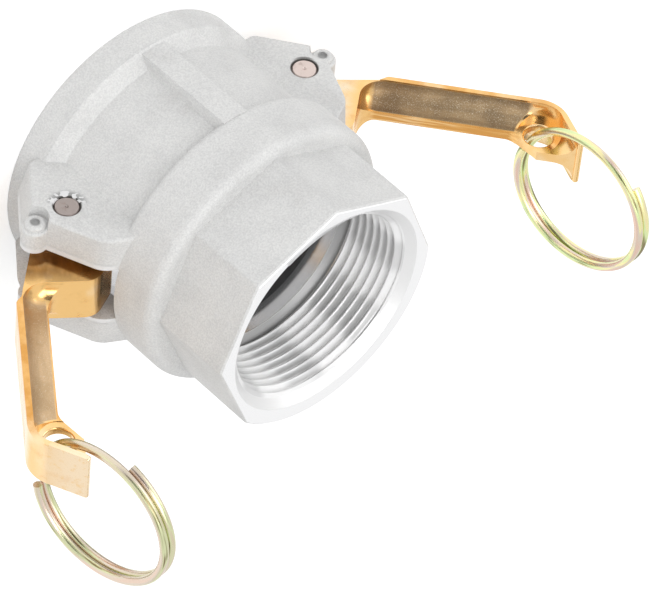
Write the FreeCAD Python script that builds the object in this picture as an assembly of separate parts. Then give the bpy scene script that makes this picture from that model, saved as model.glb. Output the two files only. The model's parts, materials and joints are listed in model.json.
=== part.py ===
import FreeCAD, Part
import math
import os

# Cam and groove coupling, 1 1/2 inch size, female thread, in millimetres.
# +Z is the axis of the coupling: it stands on the mouth of its cup, with the
# octagon and its thread on top. +Y is the way the pivot pins lie, and the two
# arms are on +X and -X. The origin is the centre of the mouth.

# Cup, from the mouth upwards
socket_d = 54.2
cup_wall = 2.9
rim_step = 3.0
rim_height = 7.2
rim_edge = 0.8
bevel_edge = 0.35
mouth_chamfer = 0.8
slot_floor = 6.0
slot_width = 15.0
slot_lower_reach = 14.0
slot_end_clearance = 1.5
seat_wall = 0.9

# Seal and its groove
seal_thickness = 6.35
seal_width = 7.15
seal_lip = 0.7
seal_side_clearance = 0.4
seal_end_clearance = 0.1

# Collar round the seal
collar_step = 2.6
collar_lead = 3.0
collar_low_round = 1.8
collar_round = 2.6

# Neck, thread bore and octagon
neck_d = 44.0
neck_length = 3.55
thread_d = 47.8
thread_length = 20.0
thread_lead_in = 1.5
thread_chamfer = 1.8
octagon_corners_d = 59.6
octagon_length = 19.5
octagon_corner_round = 1.0
octagon_chamfer = 0.5
octagon_flats = 5

# Ribs on the cup, between the ears
rib_top_width = 5.8
rib_root_width = 7.6

# Ears that hold the pins
pin_offset = 6.4
ear_outer_y = 15.8
ear_nose_r = 5.7
ear_low_bulge = 1.7
ear_low_draft = 2.3
ear_high_draft = 0.6
ear_lower_flank = 37.5
ear_upper_flank = 23.0
ear_top_slope = 28.0
ear_shoulder_round = 6.0
ear_floor = 5.3
ear_floor_round = 2.0
ear_edge_round = 0.7

# Casting knob with a spot drilled in it, in a step of each ear beside the pin
knob_r = 2.3
knob_reach = 7.1
knob_drop = 1.8
knob_below_face = 1.8
knob_height = 1.0
knob_edge_round = 0.6
knob_spot_r = 1.0
knob_spot_depth = 0.6
knob_step_r = 3.0

# Pivot pins
pin_d = 5.6
pin_fit = 0.05
pin_recess = 0.2
pin_chamfer = 0.3
pin_mouth = 0.3
pin_centre_r = 0.45

# Arm, drawn shut: "out" is away from the coupling, "up" is along its axis
arm_pin_fit = 0.08
head_side_clearance = 1.9
head_reach = 9.8
head_nose_up = 4.1
head_nose_r = 4.0
head_boss_r = 5.9
head_heel_r = 5.5
head_front = 12.2
head_front_corner = 6.0
head_front_round = 4.5
head_root_round = 4.0
head_outer_at_back = 5.7
handle_start = 17.6
handle_step = 1.6
handle_step_depth = 1.2
handle_width = 12.0
handle_outer = 11.5
handle_inner = 4.6
handle_bend = 55.7
handle_bend_r = 7.5
handle_edge_round = 0.4
arm_corner_round = 1.0
web_root_round = 4.0
tip_end_round = 0.6
flange_thickness = 1.4
web_thickness = 2.4
trough_round = 4.2
trough_end_round = 5.2
tip_turn = 61.0
tip_length = 13.6
web_end = 0.3
web_slant_low = 46.0
web_slant_high = 52.2

# Ring hole through the web and the spot face round it
ring_hole_d = 6.4
ring_hole_up = 52.1
ring_hole_out = 4.9
ring_hole_round = 0.5
spot_face_d = 10.0
spot_face_depth = 0.15

# Finger ring, a split ring of round wire
ring_outer_d = 35.5
ring_wire_d = 2.0
ring_turn_gap = 0.05
ring_turns_angle = 602.0

# How the wire lies off the middle of its hole: away from the middle of the
# ring, and along the ring's own axis
ring_sag = {"left": 0.45, "right": -0.65}
ring_shift = {"left": 0.3, "right": -0.3}

# How the arms and rings lie: degrees from the shut arm, degrees from the arm
# towards the coupling, degrees that the ring leans towards -Y, and degrees
# round the ring from the hole to the end of its wire
arm_angle = {"left": 36.0, "right": 40.0}
ring_swing = {"left": 45.0, "right": 34.2}
ring_lean = {"left": 42.8, "right": 34.2}
ring_end_to_hole = {"left": 53.0, "right": 14.0}
side_sign = {"left": -1, "right": 1}

# Worked out from the sizes above
eps = 1.0
socket_r = socket_d / 2
cup_r = socket_r + cup_wall
rim_r = cup_r + rim_step
collar_r = cup_r + collar_step
pin_x = socket_r + pin_offset
pin_z = slot_floor + slot_lower_reach
pin_r = pin_d / 2
head_swing_r = math.hypot(head_front_corner, head_front)
slot_top = pin_z + head_swing_r + slot_end_clearance
seat_z = slot_top + seat_wall
seal_r = socket_r + seal_lip
groove_r = seal_r + seal_side_clearance
groove_top = seat_z + seal_thickness + seal_end_clearance
neck_r = neck_d / 2
thread_r = thread_d / 2
thread_z = groove_top + neck_length
body_length = thread_z + thread_length
ledge_z = body_length - octagon_length
collar_z = seat_z - collar_lead
ear_inner_y = slot_width / 2
ear_root_x = math.sqrt(cup_r ** 2 - ear_outer_y ** 2) - eps
head_width = slot_width - 2 * head_side_clearance
ring_r = (ring_outer_d - ring_wire_d) / 2
ring_pitch = ring_wire_d + ring_turn_gap


def vec(x, y, z):
    return FreeCAD.Vector(x, y, z)


def rounded_wire(corners, y=0.0):
    """Closed wire in the plane y, from (x, z, radius) corners joined by lines."""
    count = len(corners)
    starts, ends, arcs = [], [], []
    for i, (x, z, radius) in enumerate(corners):
        here = vec(x, y, z)
        before = vec(corners[i - 1][0], y, corners[i - 1][1]) - here
        after = vec(corners[(i + 1) % count][0], y, corners[(i + 1) % count][1]) - here
        before.normalize()
        after.normalize()
        if radius == 0:
            starts.append(here)
            ends.append(here)
            arcs.append(None)
            continue
        half = before.getAngle(after) / 2
        run = radius / math.tan(half)
        bisector = before + after
        bisector.normalize()
        middle = here + bisector * (radius / math.sin(half) - radius)
        starts.append(here + before * run)
        ends.append(here + after * run)
        arcs.append(Part.Arc(starts[i], middle, ends[i]).toShape())
    edges = []
    for i in range(count):
        if arcs[i]:
            edges.append(arcs[i])
        following = starts[(i + 1) % count]
        if (following - ends[i]).Length > 1e-6:
            edges.append(Part.LineSegment(ends[i], following).toShape())
    return Part.Wire(edges)


def plate(corners, y_low, y_high):
    """Solid with the outline of the corners, from y_low to y_high."""
    face = Part.Face(rounded_wire(corners, y_low))
    return face.extrude(vec(0, y_high - y_low, 0))


def turned(corners):
    """Solid of revolution about Z from (radius, z, round) corners."""
    return Part.Face(rounded_wire(corners)).revolve(vec(0, 0, 0), vec(0, 0, 1), 360)


def y_cylinder(radius, x, z, y_low, y_high):
    """Cylinder along Y between two heights."""
    return Part.makeCylinder(radius, y_high - y_low, vec(x, y_low, z), vec(0, 1, 0))


def y_cone(radius_low, radius_high, x, z, y_low, y_high):
    """Cone along Y between two heights."""
    return Part.makeCone(radius_low, radius_high, y_high - y_low, vec(x, y_low, z), vec(0, 1, 0))


def flipped(shape, normal):
    """Mirror image through the origin."""
    return shape.mirror(vec(0, 0, 0), normal)


def edges_in_plane_y(shape, y):
    """Edges that lie wholly at one height y."""
    return [edge for edge in shape.Edges
            if abs(edge.BoundBox.YMin - y) < 1e-4 and abs(edge.BoundBox.YMax - y) < 1e-4]


def tangent_corner(centre, radius, angle_1, angle_2):
    """Where two lines meet that touch a circle at the two angles."""
    middle = math.radians((angle_1 + angle_2) / 2)
    reach = radius / math.cos(math.radians((angle_2 - angle_1) / 2))
    return centre[0] + reach * math.cos(middle), centre[1] + reach * math.sin(middle)


def meeting_point(angle_1, reach_1, angle_2, reach_2):
    """Where two lines meet, each given by its normal's angle and its distance."""
    turn = math.sin(math.radians(angle_2 - angle_1))
    low = math.radians(angle_1)
    high = math.radians(angle_2)
    x = (reach_1 * math.sin(high) - reach_2 * math.sin(low)) / turn
    z = (reach_2 * math.cos(low) - reach_1 * math.cos(high)) / turn
    return x, z


def ear_outline(low_draft, high_draft):
    """Outline of an ear: a nose round the pin, with flanks to rim and collar."""
    nose = meeting_point(-ear_lower_flank, ear_nose_r + ear_low_bulge + low_draft,
                         ear_upper_flank, ear_nose_r + high_draft)
    nose_x = pin_x + nose[0]
    nose_z = pin_z + nose[1]
    low = math.radians(ear_lower_flank)
    high = math.radians(ear_upper_flank)
    slope = math.radians(ear_top_slope)
    floor_z = ear_floor - low_draft / 2
    floor_x = nose_x - (nose_z - floor_z) * math.tan(low)
    shoulder_z = collar_z + high_draft / 2
    shoulder_x = nose_x - (shoulder_z - nose_z) * math.tan(high)
    top_z = shoulder_z + (shoulder_x - ear_root_x) * math.tan(slope)
    return [(ear_root_x, floor_z, 0), (floor_x, floor_z, ear_floor_round), (nose_x, nose_z, ear_nose_r),
            (shoulder_x, shoulder_z, ear_shoulder_round), (ear_root_x, top_z, 0)]


def ear():
    """The ear on +X +Y, drafted from the slot to its flat outer face."""
    low = rounded_wire(ear_outline(ear_low_draft, ear_high_draft), ear_inner_y)
    high = rounded_wire(ear_outline(0, 0), ear_outer_y)
    block = Part.makeLoft([low, high], True, True)
    rounded = [edge for edge in edges_in_plane_y(block, ear_outer_y)
               if edge.BoundBox.XMax > cup_r]
    block = block.makeFillet(ear_edge_round, rounded)
    x = pin_x + knob_reach
    z = pin_z - knob_drop
    top = ear_outer_y - knob_below_face
    step = top - knob_height
    foot = y_cylinder(knob_step_r, x, z, ear_inner_y, step)
    foot = foot.makeFillet(knob_edge_round, edges_in_plane_y(foot, step))
    block = block.cut(y_cylinder(knob_step_r, x, z, step, ear_outer_y + eps))
    return block.fuse([foot, knob(x, z, top)])


def knob(x, z, top):
    """Round casting knob with its drilled spot, up to a height y."""
    post = y_cylinder(knob_r, x, z, ear_inner_y + eps, top)
    post = post.makeFillet(knob_edge_round, edges_in_plane_y(post, top))
    return post.cut(y_cylinder(knob_spot_r, x, z, top - knob_spot_depth, top + eps))


def rib():
    """Rib on the +Y side of the cup, from the rim to the collar."""
    half_top = rib_top_width / 2
    half_root = rib_root_width / 2
    corners = [vec(-half_root, cup_r - eps, 0), vec(-half_top, collar_r + eps, 0),
               vec(half_top, collar_r + eps, 0), vec(half_root, cup_r - eps, 0)]
    wedge = Part.Face(Part.makePolygon(corners + corners[:1]))
    wedge = wedge.extrude(vec(0, 0, collar_z - slot_floor + eps))
    wedge.translate(vec(0, 0, slot_floor))
    return wedge.common(Part.makeCylinder(collar_r, body_length))


def octagon():
    """Spanner end with octagon corners on the X and Y axes, left round at the back."""
    radius = octagon_corners_d / 2
    low = ledge_z - collar_round
    angles = [45 * i for i in range(octagon_flats + 1)]
    angles.append((angles[-1] + 360) / 2)
    corners = [vec(radius * math.cos(math.radians(a)), radius * math.sin(math.radians(a)), low)
               for a in angles]
    back = Part.Arc(corners[-2], corners[-1], corners[0]).toShape()
    outline = Part.Wire(Part.makePolygon(corners[:-1]).Edges + [back])
    prism = Part.Face(outline).extrude(vec(0, 0, body_length - low))
    upright = [edge for edge in prism.Edges if edge.BoundBox.ZLength > eps]
    prism = prism.makeFillet(octagon_corner_round, upright)
    top = [edge for edge in prism.Edges if edge.BoundBox.ZMin > body_length - 1e-4]
    return prism.makeChamfer(octagon_chamfer, top)


def bore():
    """Everything that is bored out along the axis, from the mouth to the thread."""
    top = body_length
    return turned([
        (0, -eps, 0), (socket_r + mouth_chamfer + eps, -eps, 0), (socket_r, mouth_chamfer, 0),
        (socket_r, seat_z, 0), (groove_r, seat_z, 0), (groove_r, groove_top, 0),
        (neck_r, groove_top, 0), (neck_r, thread_z, 0), (thread_r, thread_z + thread_lead_in, 0),
        (thread_r, top - thread_chamfer, 0), (thread_r + thread_chamfer + eps, top + eps, 0),
        (0, top + eps, 0)])


def coupler_body():
    """The casting: cup, rim, collar, octagon, ribs and the four ears."""
    cup = turned([
        (0, 0, 0), (rim_r, 0, rim_edge), (rim_r, rim_height, bevel_edge),
        (cup_r, rim_height + rim_step, bevel_edge), (cup_r, collar_z, rim_edge),
        (collar_r, collar_z, collar_low_round), (collar_r, ledge_z, collar_round), (0, ledge_z, 0)])
    body = cup.fuse(octagon())
    one_ear = ear()
    both = one_ear.fuse(flipped(one_ear, vec(1, 0, 0)))
    ribs = rib().fuse(flipped(rib(), vec(0, 1, 0)))
    body = body.fuse([both, flipped(both, vec(0, 1, 0)), ribs])
    body = body.cut(bore())
    slot = Part.makeBox(2 * (rim_r + knob_reach + eps) * 2, slot_width, slot_top - slot_floor)
    slot.translate(vec(-2 * (rim_r + knob_reach + eps), -slot_width / 2, slot_floor))
    body = body.cut(slot)
    mouth_r = pin_r + pin_fit
    for side in side_sign.values():
        x = side * pin_x
        body = body.cut(y_cylinder(mouth_r, x, pin_z, -ear_outer_y - eps, ear_outer_y + eps))
        flare = y_cone(mouth_r, mouth_r + pin_mouth + eps, x, pin_z,
                       ear_outer_y - pin_mouth, ear_outer_y + eps)
        body = body.cut([flare, flipped(flare, vec(0, 1, 0))])
    return body.removeSplitter()


def seal():
    """Flat rubber ring in the groove, pressed against the shoulder of the neck."""
    low = groove_top - seal_thickness
    ring = Part.makeCylinder(seal_r, seal_thickness, vec(0, 0, low))
    return ring.cut(Part.makeCylinder(seal_r - seal_width, seal_thickness, vec(0, 0, low)))


def pivot_pin(side):
    """Plain pin through the two ears of one side, with a centre mark in each end."""
    half = ear_outer_y - pin_recess
    pin = y_cylinder(pin_r, side * pin_x, pin_z, -half, half)
    ends = edges_in_plane_y(pin, half) + edges_in_plane_y(pin, -half)
    pin = pin.makeChamfer(pin_chamfer, ends)
    mark = y_cone(0, 2 * pin_centre_r, side * pin_x, pin_z, half - pin_centre_r, half + pin_centre_r)
    return pin.cut([mark, flipped(mark, vec(0, 1, 0))])


def tip_point(run, depth):
    """Point on the bent tip, from its outer corner along it and into the arm."""
    turn = math.radians(tip_turn)
    out = handle_outer - run * math.sin(turn) - depth * math.cos(turn)
    up = handle_bend + run * math.cos(turn) - depth * math.sin(turn)
    return out, up


def tip_run_at(out, depth):
    """How far along the tip a line at that depth crosses a distance out."""
    turn = math.radians(tip_turn)
    return (handle_outer - depth * math.cos(turn) - out) / math.sin(turn)


def cam_nose():
    """Corners round the cam nose and the pin boss of the head, at their radii."""
    out = head_nose_r - head_reach
    across = -head_front_corner - out
    along = head_front - head_nose_up
    touch = math.degrees(math.atan2(along, across) + math.acos(head_nose_r / math.hypot(across, along)))
    slack = (head_boss_r - head_nose_r) / math.hypot(out, head_nose_up)
    under = math.degrees(math.atan2(head_nose_up, out) + math.acos(slack))
    upper = tangent_corner((out, head_nose_up), head_nose_r, touch, 180)
    lower = tangent_corner((out, head_nose_up), head_nose_r, 180, under)
    boss = tangent_corner((0, 0), head_boss_r, under, 270)
    return [(upper[0], upper[1], head_nose_r), (lower[0], lower[1], head_nose_r),
            (boss[0], boss[1], head_boss_r)]


def arm_outline():
    """Side view of the arm: cam head, straight handle and bent tip."""
    tip_outer = tip_point(tip_length, 0)
    tip_inner = tip_point(tip_length, flange_thickness)
    web_corner = tip_point(tip_run_at(-web_end, flange_thickness), flange_thickness)
    edge = tip_end_round
    return [
        (handle_outer - handle_step_depth, handle_start - handle_step, arm_corner_round),
        (handle_outer, handle_start, arm_corner_round),
        (handle_outer, handle_bend, handle_bend_r),
        (tip_outer[0], tip_outer[1], edge), (tip_inner[0], tip_inner[1], edge),
        (web_corner[0], web_corner[1], 0), (-web_end, web_slant_high, arm_corner_round),
        (handle_inner, web_slant_low, web_root_round), (handle_inner, head_front, head_root_round),
        (-head_front_corner, head_front, head_front_round)] + cam_nose() + [
        (head_outer_at_back, -head_boss_r, head_heel_r)]


def trough():
    """What is taken out beside the web on the +Y side, with a round root."""
    face = handle_outer - flange_thickness
    turn = math.radians(tip_turn)
    bend = handle_bend - flange_thickness * math.tan(turn / 2)
    far = tip_point(tip_length + 2 * trough_round, flange_thickness)
    clear = head_reach + 2 * trough_round
    cutter = plate([(face, bend, handle_bend_r - flange_thickness), (far[0], far[1], 0),
                    (-clear, far[1], 0), (-clear, head_front, 0),
                    (face, head_front, trough_end_round)], web_thickness / 2, handle_width)
    root = [edge for edge in edges_in_plane_y(cutter, web_thickness / 2)
            if edge.BoundBox.XMax > -clear + eps and edge.BoundBox.ZMin < far[1] - 1e-4]
    return cutter.makeFillet(trough_round, root)


def ring_hole_cutter():
    """Hole along Y with both mouths rounded over."""
    radius = ring_hole_d / 2
    half = web_thickness / 2 - spot_face_depth
    flat = half - ring_hole_round
    flare = radius + ring_hole_round
    middle = ring_hole_round * math.sqrt(0.5)
    mouth = Part.Arc(vec(radius, flat, 0), vec(flare - middle, flat + middle, 0), vec(flare, half, 0))
    points = [vec(flare, half, 0), vec(flare, half + eps, 0), vec(0, half + eps, 0), vec(0, 0, 0),
              vec(radius, 0, 0), vec(radius, flat, 0)]
    lines = [Part.LineSegment(a, b).toShape() for a, b in zip(points, points[1:])]
    profile = Part.Face(Part.Wire([mouth.toShape()] + lines))
    side = profile.revolve(vec(0, 0, 0), vec(0, 1, 0), 360)
    cutter = side.fuse(flipped(side, vec(0, 1, 0)))
    cutter.translate(vec(ring_hole_out, 0, ring_hole_up))
    return cutter


def arm_shut():
    """The arm with its pin hole on the Y axis and its handle upright."""
    half = handle_width / 2
    arm = plate(arm_outline(), -half, half)
    rims = [edge for y in (-half, half) for edge in edges_in_plane_y(arm, y)
            if edge.BoundBox.XMax > handle_inner + eps and edge.BoundBox.ZMax > handle_start + eps]
    arm = arm.makeFillet(handle_edge_round, rims)
    one_trough = trough()
    arm = arm.cut([one_trough, flipped(one_trough, vec(0, 1, 0))])
    low = -head_reach - eps
    side = Part.makeBox(handle_outer - low + eps, half, handle_start - handle_step - low,
                        vec(low, head_width / 2, low))
    arm = arm.cut([side, flipped(side, vec(0, 1, 0))])
    floor = web_thickness / 2 - spot_face_depth
    spot = y_cylinder(spot_face_d / 2, ring_hole_out, ring_hole_up, floor, handle_width)
    arm = arm.cut([spot, flipped(spot, vec(0, 1, 0)), ring_hole_cutter()])
    arm = arm.cut(y_cylinder(pin_r + arm_pin_fit, 0, 0, -handle_width, handle_width))
    return arm.removeSplitter()


def placed(shape, name):
    """Turn the shut arm to the angle of its side and carry it to its pin."""
    shape = shape.copy()
    shape.rotate(vec(0, 0, 0), vec(0, 1, 0), arm_angle[name])
    if side_sign[name] < 0:
        shape.rotate(vec(0, 0, 0), vec(0, 0, 1), 180)
    shape.translate(vec(side_sign[name] * pin_x, 0, pin_z))
    return shape


def ring_hole_place(name):
    """Centre of the ring hole of one arm, where the arm lies."""
    turn = math.radians(arm_angle[name])
    out = ring_hole_out * math.cos(turn) + ring_hole_up * math.sin(turn)
    up = ring_hole_up * math.cos(turn) - ring_hole_out * math.sin(turn)
    return vec(side_sign[name] * (pin_x + out), 0, pin_z + up)


def coil():
    """Close turns of wire round the origin, as half-turn arcs that drop to -Z."""
    rise = ring_pitch / 2
    here = vec(ring_r, 0, ring_pitch * ring_turns_angle / 720)
    along = vec(0, 1, 0)
    arcs = []
    for done in range(0, math.ceil(ring_turns_angle), 180):
        middle = vec(0, 0, here.z - rise / 2)
        section = Part.Face(Part.Wire(Part.makeCircle(ring_wire_d / 2, here, along)))
        turn = min(180, ring_turns_angle - done)
        arcs.append(section.revolve(middle, (here - middle).cross(along), turn))
        here = middle * 2 - here
        along = along * -1
    return arcs[0].fuse(arcs[1:]).removeSplitter()


def finger_ring(name):
    """Split ring of one arm, hanging in its hole."""
    wire = coil()
    wire.rotate(vec(0, 0, 0), vec(0, 0, 1), ring_end_to_hole[name])
    bearing = math.radians(arm_angle[name] - ring_swing[name])
    away = vec(side_sign[name] * math.sin(bearing), 0, math.cos(bearing))
    lean = math.radians(ring_lean[name])
    to_hole = vec(0, math.sin(lean), 0) - away * math.cos(lean)
    onward = vec(0, -math.cos(lean), 0) - away * math.sin(lean)
    normal = to_hole.cross(onward)
    centre = ring_hole_place(name) - to_hole * (ring_r + ring_sag[name])
    centre = centre + normal * (side_sign[name] * ring_shift[name])
    place = FreeCAD.Matrix(to_hole.x, onward.x, normal.x, centre.x,
                           to_hole.y, onward.y, normal.y, centre.y,
                           to_hole.z, onward.z, normal.z, centre.z)
    return moved(wire, place)


def moved(shape, matrix):
    """Copy of the shape in the place that a rigid matrix gives."""
    copy = shape.copy()
    copy.Placement = FreeCAD.Placement(matrix).multiply(copy.Placement)
    return copy


def main():
    os.makedirs("parts", exist_ok=True)
    arm = arm_shut()
    nodes = {"coupler_body": coupler_body(), "seal_ring": seal()}
    for name, side in side_sign.items():
        nodes["pivot_pin_" + name] = pivot_pin(side)
        nodes["cam_arm_" + name] = placed(arm, name)
        nodes["finger_ring_" + name] = finger_ring(name)
    for node, shape in nodes.items():
        solid = shape.Solids[0] if len(shape.Solids) == 1 else shape
        print(node, "solids", len(shape.Solids), "valid", shape.isValid(),
              "volume", round(shape.Volume, 1))
        solid.exportStep("parts/" + node + ".step")


main()
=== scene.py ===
"""Looks of a cam and groove coupling: finishes, pipe thread, studio and camera.

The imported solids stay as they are. This script dresses each of them in its finish, cuts the
pipe thread that they leave out, and sets up the floor, the light and the camera.
"""

import json
import logging
import math
from dataclasses import dataclass, field
from enum import Enum

import bmesh
import bpy
from mathutils import Euler, Matrix, Vector


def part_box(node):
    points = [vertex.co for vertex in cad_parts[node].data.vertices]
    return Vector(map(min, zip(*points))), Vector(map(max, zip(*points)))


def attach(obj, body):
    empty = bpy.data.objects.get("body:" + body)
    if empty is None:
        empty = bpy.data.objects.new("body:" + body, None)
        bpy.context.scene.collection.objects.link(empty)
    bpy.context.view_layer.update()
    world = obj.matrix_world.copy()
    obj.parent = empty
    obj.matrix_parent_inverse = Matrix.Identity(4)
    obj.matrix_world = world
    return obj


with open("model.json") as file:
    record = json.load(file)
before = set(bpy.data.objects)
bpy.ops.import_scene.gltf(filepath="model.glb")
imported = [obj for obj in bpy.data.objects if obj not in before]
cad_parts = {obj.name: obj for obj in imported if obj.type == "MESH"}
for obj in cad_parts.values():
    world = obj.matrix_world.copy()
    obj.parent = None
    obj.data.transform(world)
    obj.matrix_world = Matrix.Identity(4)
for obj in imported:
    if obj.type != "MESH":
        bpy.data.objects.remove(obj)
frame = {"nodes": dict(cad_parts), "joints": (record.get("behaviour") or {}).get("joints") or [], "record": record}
log = logging.getLogger("coupling")

MM = 0.001
HALF = 0.5
WHITE = (1.0, 1.0, 1.0, 1.0)
Socket = bpy.types.NodeSocket
Colour = tuple[float, float, float]
Span = tuple[float, float]


class Side(Enum):
    """The two sides of the coupling, with the way from the axis to each arm."""

    LEFT = -1
    RIGHT = 1

    @property
    def word(self) -> str:
        """The side's name as it stands in node, body and joint names."""
        return self.name.lower()


def joint(name: str) -> dict:
    """Find a joint of the record by its name."""
    return next(entry for entry in frame["joints"] if entry["name"] == name)


def mount(name: str) -> dict:
    """Find a mount of the record by its name."""
    return next(entry for entry in frame["record"]["mounts"] if entry["name"] == name)


class Graph:
    """Adds nodes to one node tree and joins their sockets."""

    def __init__(self, tree: bpy.types.NodeTree) -> None:
        """Take the tree and empty it."""
        self.tree = tree
        tree.nodes.clear()

    def node(self, kind: str, **settings: object) -> bpy.types.Node:
        """Add a node.

        Args:
            kind: The node's type name.
            **settings: Properties of the node.

        Returns:
            The new node.
        """
        made = self.tree.nodes.new(kind)
        for name, value in settings.items():
            setattr(made, name, value)
        return made

    def feed(self, target: Socket, value: object) -> None:
        """Link a socket to a target, or set the target's own value.

        Args:
            target: The input to feed.
            value: A socket, a number or a list of numbers.
        """
        if isinstance(value, bpy.types.NodeSocket):
            self.tree.links.new(value, target)
        else:
            target.default_value = value

    def math(self, operation: str, first: object, second: object = 0.0, clamp: bool = False) -> Socket:
        """Join one or two values.

        Args:
            operation: The name of the Math node's operation.
            first: The first value or socket.
            second: The second value or socket.
            clamp: Whether the result stays from 0 to 1.

        Returns:
            The result.
        """
        made = self.node("ShaderNodeMath", operation=operation, use_clamp=clamp)
        self.feed(made.inputs[0], first)
        self.feed(made.inputs[1], second)
        return made.outputs[0]

    def product(self, first: object, *others: object) -> Socket:
        """Multiply two or more values.

        Args:
            first: The first value or socket.
            *others: The other values or sockets.

        Returns:
            Their product.
        """
        for other in others:
            first = self.math("MULTIPLY", first, other)
        return first

    def blend(self, share: object, first: object, second: object) -> Socket:
        """Mix two colours.

        Args:
            share: How much of the second colour shows.
            first: The first colour.
            second: The second colour.

        Returns:
            The mixed colour.
        """
        made = self.node("ShaderNodeMix", data_type="RGBA")
        self.feed(made.inputs[0], share)
        self.feed(made.inputs[6], opaque(first))
        self.feed(made.inputs[7], opaque(second))
        return made.outputs[2]

    def between(self, share: object, first: object, second: object) -> Socket:
        """Mix two values.

        Args:
            share: How much of the second value counts.
            first: The first value.
            second: The second value.

        Returns:
            The mixed value.
        """
        made = self.node("ShaderNodeMix", data_type="FLOAT")
        self.feed(made.inputs[0], share)
        self.feed(made.inputs[2], first)
        self.feed(made.inputs[3], second)
        return made.outputs[0]

    def noise(self, place: Socket, size: float, detail: float = 3.0, rough: float = 0.55) -> Socket:
        """Add a noise whose blotches have a real size.

        Args:
            place: The coordinates, in metres.
            size: The size of a blotch, in metres.
            detail: How many finer layers it has.
            rough: How strong the finer layers are.

        Returns:
            The noise, from 0 to 1.
        """
        made = self.node("ShaderNodeTexNoise")
        self.feed(made.inputs["Vector"], place)
        made.inputs["Scale"].default_value = 1.0 / size
        made.inputs["Detail"].default_value = detail
        made.inputs["Roughness"].default_value = rough
        return made.outputs["Fac"]

    def step(self, value: object, low: float, high: float, top: float = 1.0) -> Socket:
        """Rise smoothly from 0 at low to the top at high.

        Args:
            value: The value or socket.
            low: Where the rise starts.
            high: Where it ends.
            top: The value that it ends at.

        Returns:
            The risen value.
        """
        made = self.node("ShaderNodeMapRange", interpolation_type="SMOOTHSTEP")
        self.feed(made.inputs["Value"], value)
        made.inputs["From Min"].default_value = low
        made.inputs["From Max"].default_value = high
        made.inputs["To Max"].default_value = top
        return made.outputs["Result"]

    def group(self, tree: bpy.types.NodeTree, **values: object) -> bpy.types.Node:
        """Place a node group.

        Args:
            tree: The group.
            **values: Its inputs, with a space in their names as an underscore.

        Returns:
            The group's node.
        """
        made = self.node("ShaderNodeGroup")
        made.node_tree = tree
        for name, value in values.items():
            self.feed(made.inputs[name.replace("_", " ")], value)
        return made


def opaque(colour: object) -> object:
    """Give a colour of three numbers its alpha, and pass anything else."""
    return (*colour, 1.0) if isinstance(colour, tuple) and len(colour) == 3 else colour


@dataclass
class SharedEffect:
    """A shader node group that several finishes use."""

    name: str
    inputs: dict[str, str]
    outputs: dict[str, str]

    def open(self) -> tuple[Graph, bpy.types.Node, bpy.types.Node]:
        """Make the group with its sockets.

        Returns:
            The graph, and the nodes of the group's inputs and outputs.
        """
        tree = bpy.data.node_groups.new(self.name, "ShaderNodeTree")
        graph = Graph(tree)
        for direction, sockets in (("INPUT", self.inputs), ("OUTPUT", self.outputs)):
            for name, kind in sockets.items():
                tree.interface.new_socket(name=name, in_out=direction, socket_type="NodeSocket" + kind)
        return graph, graph.node("NodeGroupInput"), graph.node("NodeGroupOutput")


def sized(graph: Graph, given: bpy.types.Node) -> Socket:
    """Divide a group's coordinates by its size, so that one blotch is 1 across.

    Args:
        graph: The group's graph.
        given: The node of its inputs.

    Returns:
        The divided coordinates.
    """
    scaled = graph.node("ShaderNodeVectorMath", operation="DIVIDE")
    graph.feed(scaled.inputs[0], given.outputs["Vector"])
    graph.feed(scaled.inputs[1], given.outputs["Size"])
    return scaled.outputs[0]


def make_grain() -> bpy.types.NodeTree:
    """Build the sand grain of a casting or forging.

    Returns:
        A group that gives the grain's height, its light and dark sand, its specks and its tone.
    """
    graph, given, made = SharedEffect(
        "sand_grain", {"Vector": "Vector", "Size": "Float"},
        {"Height": "Float", "Sand": "Float", "Specks": "Float", "Tone": "Float"}).open()
    place = sized(graph, given)
    fine = graph.noise(place, size=1.0, detail=4.0, rough=0.6)
    lumps = graph.noise(place, size=4.0, detail=2.0, rough=0.5)
    specks = graph.noise(place, size=0.6, detail=2.0, rough=0.7)
    lump_share = 0.35
    graph.feed(made.inputs["Height"], graph.between(lump_share, fine, lumps))
    graph.feed(made.inputs["Sand"], graph.step(fine, low=0.34, high=0.66))
    graph.feed(made.inputs["Specks"], graph.step(specks, low=0.56, high=0.74))
    graph.feed(made.inputs["Tone"], graph.noise(place, size=22.0, detail=3.0, rough=0.5))
    return graph.tree


def make_window() -> bpy.types.NodeTree:
    """Build a soft window: 1 between two limits and 0 outside them.

    Returns:
        A group that gives the window's mask.
    """
    graph, given, made = SharedEffect(
        "soft_window", {"Value": "Float", "Low": "Float", "High": "Float", "Soft": "Float"},
        {"Mask": "Float"}).open()
    value, soft = given.outputs["Value"], given.outputs["Soft"]
    inside = [graph.math("SUBTRACT", value, given.outputs["Low"]),
              graph.math("SUBTRACT", given.outputs["High"], value)]
    edges = [graph.math("ADD", graph.math("DIVIDE", way, soft), HALF, clamp=True) for way in inside]
    graph.feed(made.inputs["Mask"], graph.product(*edges))
    return graph.tree


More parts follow.
